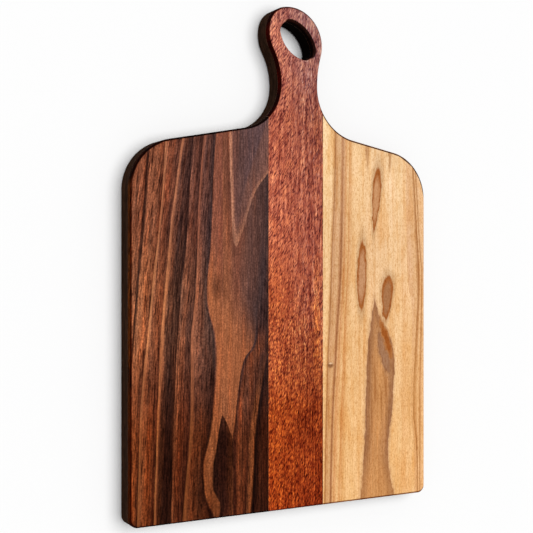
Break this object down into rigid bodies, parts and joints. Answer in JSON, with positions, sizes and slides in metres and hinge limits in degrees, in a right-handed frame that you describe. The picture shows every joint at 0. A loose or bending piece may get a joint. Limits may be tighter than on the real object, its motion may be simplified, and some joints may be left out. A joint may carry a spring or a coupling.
{
  "type": "paddle charcuterie board",
  "caption": "Laminated paddle serving board with a face of mixed hardwood staves on a dark walnut backing, and a slanted ring at the end of its neck to hold or hang it by.",
  "frame": {"origin": "middle of the bounding box, on the surface that the board lies on", "axes": "+Y along the board towards the handle's ring, +Z out of the serving face, +X to the right seen from above with the handle away"},
  "size_m": [0.254, 0.381, 0.019],
  "materials": {
    "walnut": "oiled walnut, satin, with flame figure",
    "padauk": "oiled padauk, satin, open pores",
    "maple": "oiled streaked maple, satin",
    "dark_walnut": "oiled dark walnut, satin",
    "glue": "cured wood glue, sanded flush"
  },
  "bodies": {
    "root": {"walnut_face_stave": "walnut", "padauk_handle_stave": "padauk", "maple_face_stave": "maple", "walnut_glue_line": "glue", "maple_glue_line": "glue", "lamination_glue_film": "glue", "left_back_stave": "dark_walnut", "handle_back_stave": "dark_walnut", "right_back_stave": "dark_walnut", "left_back_glue_line": "glue", "right_back_glue_line": "glue"}
  },
  "joints": []
}
